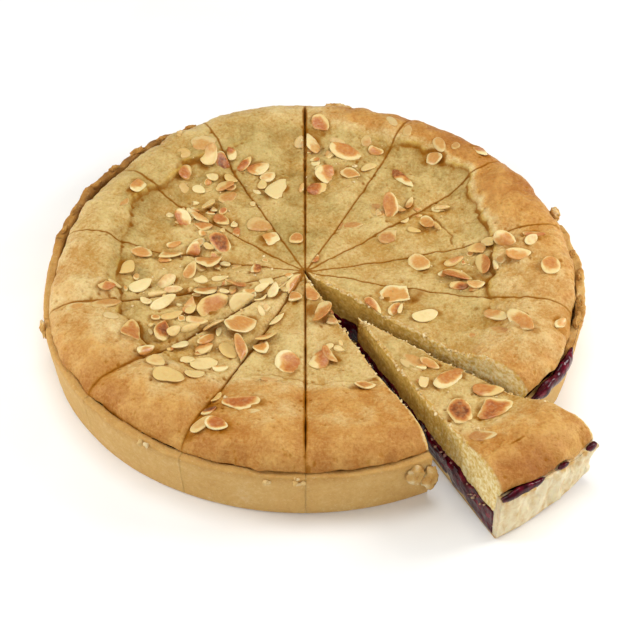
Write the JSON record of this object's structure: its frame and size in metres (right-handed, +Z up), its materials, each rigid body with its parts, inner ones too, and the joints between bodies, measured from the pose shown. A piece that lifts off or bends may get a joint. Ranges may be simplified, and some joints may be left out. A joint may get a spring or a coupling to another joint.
{
  "type": "bakewell tart",
  "caption": "Round almond tart, sliced, with one slice drawn out: pastry case, dark red jam layer and golden almond sponge topped with toasted flaked almonds.",
  "frame": {"origin": "middle of the footprint's bounding box, on the table", "axes": "+Z up; the slices stand round a point near the origin, and the drawn-out slice points towards +X and -Y"},
  "size_m": [0.2802, 0.2988, 0.0446],
  "materials": {
    "pastry": "matte",
    "jam": "gloss",
    "sponge": "matte"
  },
  "bodies": {
    "root": {"pastry_01": "pastry", "pastry_02": "pastry", "pastry_03": "pastry", "pastry_04": "pastry", "pastry_05": "pastry", "pastry_06": "pastry", "pastry_07": "pastry", "pastry_08": "pastry", "pastry_09": "pastry", "pastry_10": "pastry", "pastry_11": "pastry", "pastry_12": "pastry", "pastry_13": "pastry", "pastry_14": "pastry", "jam_01": "jam", "jam_02": "jam", "jam_03": "jam", "jam_04": "jam", "jam_05": "jam", "jam_06": "jam", "jam_07": "jam", "jam_08": "jam", "jam_09": "jam", "jam_10": "jam", "jam_11": "jam", "jam_12": "jam", "jam_13": "jam", "jam_14": "jam", "sponge_01": "sponge", "sponge_02": "sponge", "sponge_03": "sponge", "sponge_04": "sponge", "sponge_05": "sponge", "sponge_06": "sponge", "sponge_07": "sponge", "sponge_08": "sponge", "sponge_09": "sponge", "sponge_10": "sponge", "sponge_11": "sponge", "sponge_12": "sponge", "sponge_13": "sponge", "sponge_14": "sponge"}
  },
  "joints": []
}
